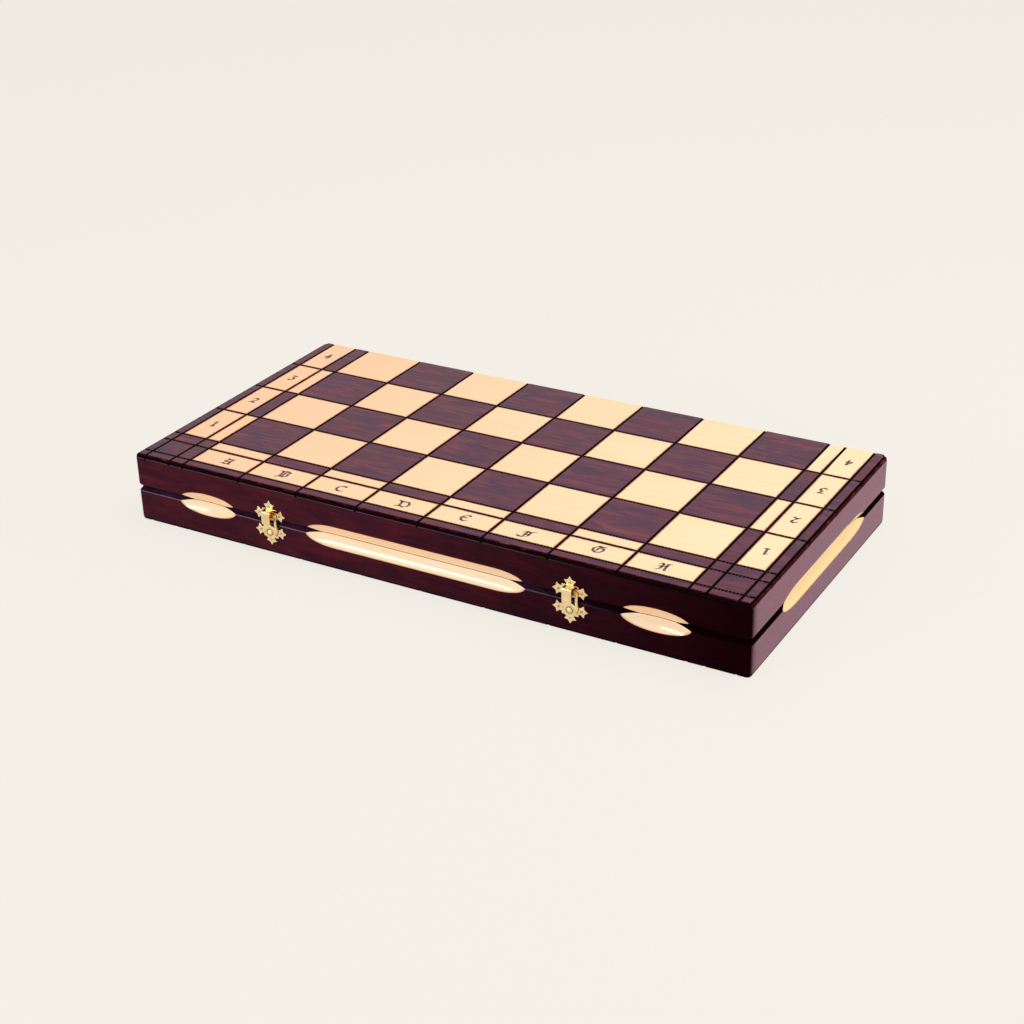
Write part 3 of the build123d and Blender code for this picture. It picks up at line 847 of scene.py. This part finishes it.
# Dividers: thin strips of plain beech glued on the felt. Four long ones make five rows, and short
# ones between them part the cells; their sharp edges are sanded off.

SANDED = 0.5


def from_model(node):
    """A copy of the model's node in millimetres, its triangles merged back to whole faces."""
    bm = bmesh.new()
    bm.from_mesh(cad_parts[node].data)
    bmesh.ops.scale(bm, vec=(1 / MM, 1 / MM, 1 / MM), verts=bm.verts)
    bmesh.ops.remove_doubles(bm, verts=bm.verts, dist=0.002)
    bmesh.ops.dissolve_limit(bm, angle_limit=math.radians(1), verts=bm.verts, edges=bm.edges)
    return bm


def soften(bm, width, steps=2, sharp=30.0):
    """Rounds every edge that is sharper than the given angle."""
    edges = [e for e in bm.edges if len(e.link_faces) == 2 and e.calc_face_angle(0) > math.radians(sharp)]
    ease(bm, edges, width, steps, clamp=True)
    return bm


def beech():
    """Plain sanded beech with short brown flecks."""
    material, tree, shader, colour = pale_wood("plain_beech", "X", ((0.5, 0.29, 0.14), (0.7, 0.46, 0.26)))
    flecks = cloud(tree, (160.0, 900.0, 900.0), 2.0)
    colour = mixed(tree, spread(tree, flecks, 0.6, 0.72, 0.0, 0.6), colour, (0.3, 0.14, 0.06))
    feed(tree, shader, Base_Color=colour)
    return material


plain_beech = beech()
for node in ("row_dividers", "cell_dividers"):
    bm = soften(from_model(node), SANDED)
    piece(bm, f"sanded_{node}", "lower_half", [plain_beech], [node])


# Chessmen: thirty-two men turned from hornbeam, half of them left pale and half stained nearly
# black, lacquered, with green cloth under the foot. Each lies on its side in a cell of its own.

FOOT_H = 2.7
LATHE_STEPS = 40
ROW_STEP, MIDDLE_ROW = 10.0, 20.0
WOOD, CLOTH = range(2)


def man_wood(name, dark, light):
    """Lacquered turned wood with its grain along the man, which lies along X."""
    material, tree, shader = finish(name, IOR=1.45, Coat_Weight=0.3, Coat_Roughness=0.1)
    grain = cloud(tree, (18.0, 500.0, 500.0), 5.0, 0.6, 0.3)
    colour = colours(tree, grain, (0.3, *dark), (0.7, *light))
    feed(tree, shader, Base_Color=colour, Roughness=spread(tree, grain, 0.3, 0.7, 0.28, 0.4),
         Normal=relief(tree, grain, 0.06, 0.0003))
    return material


ARMIES = {
    "light": man_wood("pale_hornbeam", (0.66, 0.42, 0.19), (0.84, 0.6, 0.33)),
    "dark": man_wood("stained_hornbeam", (0.012, 0.005, 0.004), (0.05, 0.016, 0.01)),
}


def swell(start, end, bulge, steps=5):
    """A turned curve between two (radius, height) places, swelling out, or hollow where bulge is negative."""
    (r0, h0), (r1, h1) = start, end
    shares = [k / steps for k in range(steps + 1)]
    return [(r0 + (r1 - r0) * t + 4 * bulge * t * (1 - t), h0 + (h1 - h0) * t) for t in shares]


def turned_ball(radius, middle, start, end=90, steps=9):
    """A turned ball from one angle above its middle to another, in degrees."""
    angles = [math.radians(start + (end - start) * k / steps) for k in range(steps + 1)]
    return [(radius * math.cos(a), middle + radius * math.sin(a)) for a in angles]


def turned_foot(radius, neck_r, neck_h):
    """The foot with its rounded rim and a bead, and the hollow body up to the neck."""
    rim = [(0, 0), (radius - 0.9, 0), (radius - 0.2, 0.4), (radius, 1.0)]
    rim += [(radius, FOOT_H - 0.5), (radius - 0.5, FOOT_H)]
    step = [(0.82 * radius, FOOT_H + 0.3), (0.82 * radius, FOOT_H + 0.8)]
    bead = swell((0.8 * radius, FOOT_H + 0.9), (0.7 * radius, FOOT_H + 2.6), 0.35, 4)
    return rim + step + bead + swell((0.62 * radius, FOOT_H + 3.2), (neck_r, neck_h), -0.12 * radius, 9)


def turned_collar(neck_r, radius, middle, half=1.4):
    """A sharp collar on the neck."""
    lower = [(0.8 * radius, middle - 0.55 * half), (radius, middle - 0.1 * half)]
    upper = [(0.97 * radius, middle + 0.25 * half), (0.72 * radius, middle + 0.6 * half)]
    return lower + upper + [(neck_r, middle + half)]


def turned(outline):
    """Spins an outline of (radius, height) places round, as a lathe does."""
    bm = bmesh.new()
    verts = [bm.verts.new((r, 0, h)) for r, h in outline]
    edges = [bm.edges.new(pair) for pair in zip(verts, verts[1:])]
    bmesh.ops.spin(bm, geom=verts + edges, cent=(0, 0, 0), axis=(0, 0, 1), angle=2 * math.pi,
                   steps=LATHE_STEPS, use_merge=True)
    bmesh.ops.remove_doubles(bm, verts=bm.verts, dist=0.0005)
    bmesh.ops.recalc_face_normals(bm, faces=bm.faces)
    return bm


def pawn():
    """A ball on a collar."""
    outline = turned_foot(12.0, 4.2, 21.4) + turned_collar(4.2, 7.0, 23.0) + turned_ball(6.6, 31.4, -50)
    return turned(outline), outline


def rook():
    """Its tower has a sunk top and four notches between the merlons."""
    tower_h, merlon_h, notch = 42.0, 3.0, 36
    outline = turned_foot(13.5, 6.3, 30.5) + turned_collar(6.6, 8.2, 31.6, 1.0)
    outline += swell((7.2, 33.2), (9.3, 37.0), -0.5) + [(9.5, 38.0), (9.5, tower_h)]
    bm = turned(outline + [(6.5, tower_h), (6.5, tower_h - 1), (0, tower_h - 1)])
    merlons = []
    for face in bm.faces:
        middle = face.calc_center_median()
        if face.normal.z > 0.9 and middle.z > tower_h - 0.1:
            if (math.degrees(math.atan2(middle.y, middle.x)) + notch / 2) % 90 > notch:
                merlons.append(face)
    raised = bmesh.ops.extrude_face_region(bm, geom=merlons)["geom"]
    bmesh.ops.delete(bm, geom=merlons, context="FACES")
    bmesh.ops.translate(bm, vec=(0, 0, merlon_h), verts=verts_in(raised))
    return bm, outline + [(9.5, tower_h + merlon_h)]


def bishop():
    """Its mitre has a slanting slit."""
    outline = turned_foot(13.5, 4.6, 33.0) + turned_collar(4.8, 8.5, 35.0)
    outline += turned_collar(4.9, 6.4, 37.2, 0.9) + swell((5.0, 38.2), (7.4, 43.5), 0.5)
    outline += swell((7.5, 44.5), (1.5, 55.0), 1.1, 8) + turned_ball(2.2, 57.8, -55)
    slit = beam(-6, -12, -0.6, 6, 12, 0.6)
    slant = Matrix.Translation((7.5, 0, 47.0)) @ Matrix.Rotation(math.radians(-35), 4, "Y")
    bmesh.ops.transform(slit, matrix=slant, verts=slit.verts)
    return cut(turned(outline), [slit]), outline


def queen():
    """Her crown is a flared cup with a scalloped rim, closed by a small ball."""
    rim_h, lip_h, scallop_h = 61.6, 61.2, 1.1
    outline = turned_foot(14.5, 5.0, 40.5) + turned_collar(5.2, 9.0, 44.0)
    outline += turned_collar(5.3, 6.8, 46.4, 0.9) + swell((5.4, 47.6), (9.4, 60.0), -0.9, 7)
    outline += [(9.2, rim_h), (7.9, lip_h), (6.4, 59.8)] + swell((5.0, 60.4), (2.0, 62.6), 0.6, 4)
    outline += turned_ball(3.0, 65.0, -42)
    bm = turned(outline)
    for vert in bm.verts:
        if near(vert.co.z, (rim_h, lip_h), TINY):
            vert.co.z += scallop_h * abs(math.sin(4 * math.atan2(vert.co.y, vert.co.x)))
    return bm, outline


def join(first, second):
    """Adds the second mesh to the first."""
    spare = bpy.data.meshes.new("spare")
    second.to_mesh(spare)
    second.free()
    first.from_mesh(spare)
    bpy.data.meshes.remove(spare)
    return first


def king():
    """His crown carries a cross."""
    arm, king_h = 1.2, 76.0
    outline = turned_foot(15.0, 5.4, 40.5) + turned_collar(5.6, 9.5, 44.0)
    outline += turned_collar(5.7, 7.2, 46.6, 1.0) + swell((5.8, 47.8), (8.9, 60.5), -0.7, 7)
    outline += [(8.8, 61.6), (8.0, 62.1)] + swell((7.4, 62.3), (2.2, 65.6), 0.8, 5)
    outline += [(1.4, 66.2), (0, 66.2)]
    bm = turned(outline)
    post = beam(-arm, -arm, 64.5, arm, arm, king_h)
    bar = beam(-arm, -3 * arm, 70.7, arm, 3 * arm, 73.1)
    for part in (post, bar):
        join(bm, soften(part, 0.35))
    return bm, outline + [(arm, king_h)]


def knight():
    """A horse's head sawn from a board and carved round, on a turned foot."""
    half_t, carved = 5.5, 1.7
    chest = [(-7.2, 12.6), (7.6, 12.6), (9.0, 18.0), (9.2, 24.0), (7.6, 30.0), (4.8, 35.0)]
    muzzle = [(5.4, 36.6), (8.6, 36.0), (11.4, 35.4), (12.8, 37.0), (13.0, 40.4), (10.6, 44.0)]
    ears = [(7.6, 47.6), (5.8, 50.2), (4.9, 53.9), (2.4, 51.4), (0.2, 51.0)]
    mane = [(-3.4, 49.4), (-6.6, 46.0), (-8.8, 41.0), (-9.6, 34.5), (-9.2, 27.0), (-8.2, 20.0)]
    outline = turned_foot(13.5, 7.8, 11.0) + turned_collar(7.6, 9.0, 12.4, 1.0) + [(0, 13.4)]
    bm = turned(outline)
    head = bmesh.new()
    head.faces.new([head.verts.new((-half_t, y, z)) for y, z in chest + muzzle + ears + mane])
    raised = bmesh.ops.extrude_face_region(head, geom=head.faces[:])["geom"]
    bmesh.ops.translate(head, vec=(2 * half_t, 0, 0), verts=verts_in(raised))
    bmesh.ops.recalc_face_normals(head, faces=head.faces)
    rims = [e for e in head.edges if abs(e.verts[0].co.x - e.verts[1].co.x) < TINY]
    ease(head, rims, carved, 4, clamp=True)
    for side in (-1, 1):
        eye = Matrix.Translation((side * (half_t - 0.1), 6.0, 42.5)) @ Matrix.Diagonal((0.5, 0.9, 0.7, 1))
        bmesh.ops.create_uvsphere(head, u_segments=12, v_segments=8, radius=1.0, matrix=eye)
    join(bm, head)
    return bm, outline[:8] + [(half_t, 54.0)]


def drop_of(outline):
    """The angle that a lying man's head drops by until he rests on his foot's rim and one other place."""
    rim_r = max(r for r, h in outline)
    rim_h = max(h for r, h in outline if r > rim_r - TINY)
    return min(math.atan2(rim_r - r, h - rim_h) for r, h in outline if h > rim_h + 2)


def corners(verts):
    """The lowest and the highest corner of the box round some vertices."""
    low = Vector([min(v.co[i] for v in verts) for i in range(3)])
    high = Vector([max(v.co[i] for v in verts) for i in range(3)])
    return low, high


def row_y(box):
    """The Y of a box's middle."""
    return (box[0].y + box[1].y) / 2


def cells_of(node):
    """The box of each separate man in a node of the model, in millimetres, row by row from the left."""
    bm = from_model(node)
    boxes = []
    left = set(bm.verts)
    while left:
        reached, open_ends = set(), [left.pop()]
        while open_ends:
            vert = open_ends.pop()
            reached.add(vert)
            fresh = [e.other_vert(vert) for e in vert.link_edges if e.other_vert(vert) in left]
            left.difference_update(fresh)
            open_ends += fresh
        boxes.append(corners(reached))
    bm.free()
    return sorted(boxes, key=lambda box: (round(row_y(box) / ROW_STEP), box[0].x))


def lay(man, towards, box, army, number):
    """Lays a man down in his cell with his head towards +X or -X."""
    node = f"{army}_pawns" if man is pawn else f"{army}_pieces"
    bm, outline = man()
    for face in bm.faces:
        under = face.normal.z < -0.9 and face.calc_center_median().z < 0.1
        face.material_index = CLOTH if under else WOOD
    swing(bm, math.pi / 2 + drop_of(outline), "Y")
    if towards < 0:
        swing(bm, math.pi, "Z")
    low, high = corners(bm.verts)
    shift = (box[0] + box[1]) / 2 - (low + high) / 2
    shift.z = box[0].z - low.z
    bmesh.ops.translate(bm, vec=shift, verts=bm.verts)
    name = f"{army}_{man.__name__}_{number + 1}"
    return piece(bm, name, "lower_half", [ARMIES[army], green_felt], [node])


# knights lie in the middle row, the other pieces of each army in a row of their own
for army, side in (("light", 1), ("dark", -1)):
    for number, box in enumerate(cells_of(f"{army}_pawns")):
        lay(pawn, side, box, army, number)
    boxes = cells_of(f"{army}_pieces")
    in_row = [box for box in boxes if abs(row_y(box)) > MIDDLE_ROW]
    in_middle = [box for box in boxes if abs(row_y(box)) <= MIDDLE_ROW]
    for number, (man, box) in enumerate(zip((rook, bishop, queen, king, bishop, rook), in_row)):
        lay(man, side, box, army, number)
    for number, box in enumerate(in_middle):
        lay(knight, -side, box, army, number)


# Hinges: two brass butt hinges let into the back walls. Each has a lower and an upper leaf rolled
# round a pin, and two countersunk slotted screws through each leaf.

SCREW_X, SCREW_Y, SCREW_R = 10.0, 100.0, 1.6
SLOT_W, SLOT_DEEP = 0.44, 0.25


def brass(name, bright, deep, rough):
    """Pressed brass, a little tarnished in places."""
    material, tree, shader = finish(name, Metallic=1.0)
    tarnish = cloud(tree, (260.0, 260.0, 260.0), 4.0)
    brushed = cloud(tree, (2200.0, 300.0, 2200.0), 2.0)
    colour = colours(tree, tarnish, (0.3, *deep), (0.6, *bright))
    roughness = spread(tree, tarnish, 0.3, 0.7, rough + 0.1, rough)
    feed(tree, shader, Base_Color=colour, Roughness=roughness, Normal=relief(tree, brushed, 0.1, 0.0001))
    return material


hinge_brass = brass("hinge_brass", (0.78, 0.55, 0.24), (0.5, 0.31, 0.12), 0.28)


def screw(x, y, z):
    """A countersunk screw's head, facing up, its slot at an angle of its own."""
    head = turned([(0, -0.6), (0.8, -0.6), (SCREW_R, 0.0), (SCREW_R - 0.3, 0.08), (0, 0.12)])
    slot = beam(-2, -SLOT_W / 2, -SLOT_DEEP, 2, SLOT_W / 2, 1)
    swing(slot, math.radians(7 * x % 180), "Z")
    bm = cut(head, [slot])
    bmesh.ops.translate(bm, vec=(x, y, z), verts=bm.verts)
    return bm


for side, middle in zip(("left", "right"), HINGE_X):
    for half in ("lower", "upper"):
        node = f"hinge_{half}_leaf_{side}"
        bm = soften(from_model(node), 0.12, 1)
        piece(bm, f"{node}_brass", f"{half}_half", [hinge_brass], [node])
        for number, off in enumerate((-SCREW_X, SCREW_X)):
            bm = screw(middle + off, SCREW_Y, HALF_H)
            if half == "upper":
                turn_over(bm)
            piece(bm, f"hinge_{half}_screw_{side}_{number + 1}", f"{half}_half", [hinge_brass])
    node = f"hinge_pin_{side}"
    piece(soften(from_model(node), 0.2), f"{node}_brass", "lower_half", [hinge_brass], [node])


# Clasps: two pressed brass clasps nailed to the front walls. The upper plate's tongue is bent out
# and down over the parting line, and the hook, a stamped lever, turns on a domed rivet below.

CLASP_X = (-106.3, 100.7)
NAILS = {
    "upper": ((-7.35, 4.3), (7.35, 4.3), (0.0, 9.6)),
    "lower": ((-7.35, -7.3), (7.35, -7.3), (0.0, -12.6)),
}
SHEET_T = 0.6
NAIL_R = 0.85
RIVET_X, RIVET_Z = 0.4, -7.1
RIVET_SEAT, RIVET_TOP = 1.93, 3.13
DISH_R = (1.8, 2.4)

clasp_brass = brass("clasp_brass", (0.93, 0.73, 0.42), (0.74, 0.51, 0.24), 0.22)


def nail_steel():
    """Brassed nail heads, grey from wear, and tinted lilac as a painted reflection."""
    material, tree, shader = finish("nail_heads_wear_and_sheen", Metallic=1.0, Roughness=0.45)
    wear_and_sheen = cloud(tree, (700.0, 700.0, 700.0), 3.0)
    # grey from wear, and lilac as a painted reflection
    colour = colours(tree, wear_and_sheen, (0.35, 0.34, 0.26, 0.2), (0.65, 0.52, 0.47, 0.52))
    feed(tree, shader, Base_Color=colour)
    return material


nail_heads = nail_steel()
# dark brass for the rivet's dish: tarnish and painted shade
tarnish_and_shade_brass = brass("tarnish_and_shade_brass", (0.42, 0.26, 0.1), (0.2, 0.11, 0.04), 0.4)


def nail():
    """A hollow nail head, facing up."""
    return turned([(0, 0), (NAIL_R, 0), (NAIL_R, 0.16), (0.8 * NAIL_R, 0.2), (0.6 * NAIL_R, 0.08), (0, 0.05)])


def rivet():
    """The rivet, facing up: its shank, the brim of its head, and a dish round a bright dome, dark with tarnish
    and painted shade.
    """
    brim = [(DISH_R[1], RIVET_SEAT), (2.5, 2.05), (2.4, 2.2), (2.1, 2.2), (1.95, 1.98), (DISH_R[0], 1.98)]
    dome = swell((1.75, 2.2), (0.0, RIVET_TOP), 0.38, 7)
    bm = turned([(0, 0), (1.0, 0), (1.0, RIVET_SEAT)] + brim + dome)
    for face in bm.faces:
        middle = face.calc_center_median()
        in_dish = DISH_R[0] < middle.xy.length < DISH_R[1] and middle.z > RIVET_SEAT + TINY
        # the dish takes the dark brass: tarnish and painted shade round the dome
        face.material_index = int(in_dish)
    return bm


def on_front(bm, x, z, out):
    """Stands a piece drawn facing up on the front wall, its foot so far out of it."""
    swing(bm, math.pi / 2, "X")
    bmesh.ops.translate(bm, vec=(x, -DEPTH / 2 - out, PARTING_Z + z), verts=bm.verts)
    return bm


for side, middle in zip(("left", "right"), CLASP_X):
    for half in ("upper", "lower"):
        node = f"clasp_{half}_plate_{side}"
        plate = soften(from_model(node), 0.14)
        piece(plate, f"{node}_brass", f"{half}_half", [clasp_brass], [node])
        for number, (x, z) in enumerate(NAILS[half]):
            bm = on_front(nail(), middle + x, z, SHEET_T)
            piece(bm, f"clasp_{half}_nail_{side}_{number + 1}", f"{half}_half", [nail_heads])
    node = f"clasp_hook_{side}"
    piece(soften(from_model(node), 0.3, 3), f"{node}_brass", f"latch_{side}", [clasp_brass], [node])
    node = f"clasp_rivet_{side}"
    bm = on_front(rivet(), middle + RIVET_X, RIVET_Z, 0)
    piece(bm, f"{node}_brass", "lower_half", [clasp_brass, tarnish_and_shade_brass], [node])


# Studio: a plain pale floor, a pale surround and three soft lamps. The surround is what the camera
# and the gloss see; the floor keeps a soft shadow.

PALE_GROUND = (0.896, 0.863, 0.799)
FLOOR_REACH, FLOOR_GLOW = 12.0, 0.9
WORLD_LIGHT, WORLD_TINT = 0.5, (1.0, 0.97, 0.93)


def seen_directly(tree):
    """1 where the camera, gloss or glass looks."""
    rays = add(tree, "LightPath").outputs
    first = worked(tree, "MAXIMUM", rays["Is Camera Ray"], rays["Is Glossy Ray"])
    return worked(tree, "MAXIMUM", first, rays["Is Transmission Ray"])


def floor_finish():
    """The floor: plain and matt, but mostly its own even colour where it is looked at."""
    material, tree, shader = finish("studio_floor", Roughness=0.9, Specular_IOR_Level=0.0)
    shader.inputs["Base Color"].default_value = (*PALE_GROUND, 1)
    glow = add(tree, "Emission", {"Color": (*PALE_GROUND, 1), "Strength": 1.0})
    share = worked(tree, "MULTIPLY", seen_directly(tree), FLOOR_GLOW)
    both = add(tree, "MixShader", {0: share, 1: shader.outputs[0], 2: glow.outputs[0]})
    tree.links.new(both.outputs[0], tree.nodes["Material Output"].inputs["Surface"])
    return material


bm = bmesh.new()
bmesh.ops.create_grid(bm, x_segments=1, y_segments=1, size=FLOOR_REACH)
mesh = bpy.data.meshes.new("studio_floor")
bm.to_mesh(mesh)
bm.free()
mesh.materials.append(floor_finish())
floor = bpy.data.objects.new("studio_floor", mesh)
bpy.context.scene.collection.objects.link(floor)

world = bpy.data.worlds.new("studio")
bpy.context.scene.world = world
world.use_nodes = True
tree = world.node_tree
lit = tree.nodes["Background"]
lit.inputs["Color"].default_value = (*WORLD_TINT, 1)
lit.inputs["Strength"].default_value = WORLD_LIGHT
seen = add(tree, "Background", {"Color": (*PALE_GROUND, 1), "Strength": 1.0})
both = add(tree, "MixShader", {0: seen_directly(tree), 1: lit.outputs[0], 2: seen.outputs[0]})
tree.links.new(both.outputs[0], tree.nodes["World Output"].inputs["Surface"])


def lamp(name, spot, aim, size, watts, tint):
    """A soft rectangular lamp that looks at a place."""
    data = bpy.data.lights.new(name, "AREA")
    data.shape = "RECTANGLE"
    data.size, data.size_y = size
    data.energy = watts
    data.color = tint
    obj = bpy.data.objects.new(name, data)
    bpy.context.scene.collection.objects.link(obj)
    obj.location = spot
    obj.rotation_euler = (Vector(aim) - Vector(spot)).to_track_quat("-Z", "Y").to_euler()
    return obj


lamp("top_lamp", (0.5, 0.2, 1.7), (0, 0, 0), (1.4, 1.0), 17.7, (1.0, 0.97, 0.92))
lamp("right_lamp", (1.25, 0.15, 0.45), (0.21, 0.0, 0.02), (0.8, 0.6), 4.4, (1.0, 0.97, 0.93))
lamp("front_left_lamp", (-0.75, -1.4, 0.42), (-0.1, -0.1, 0.02), (0.5, 0.36), 9.4, (1.0, 0.97, 0.93))

# the photograph's camera: its lens, its place, and what its picture's right, up and back are
CAMERA_LENS, CAMERA_SENSOR = 66.055, 36.0
CAMERA_AT = (0.537307, -0.910947, 0.540473)
CAMERA_RIGHT = (0.868049, 0.495944, -0.023053)
CAMERA_UP = (-0.205922, 0.401898, 0.89223)
CAMERA_BACK = (0.451761, -0.769752, 0.450993)

view = bpy.data.cameras.new("camera")
view.sensor_width = CAMERA_SENSOR
view.lens = CAMERA_LENS
camera = bpy.data.objects.new("camera", view)
bpy.context.scene.collection.objects.link(camera)
aimed = Matrix((CAMERA_RIGHT, CAMERA_UP, CAMERA_BACK)).transposed()
camera.matrix_world = Matrix.Translation(CAMERA_AT) @ aimed.to_4x4()
bpy.context.scene.camera = camera
bpy.context.scene.view_settings.view_transform = "Standard"
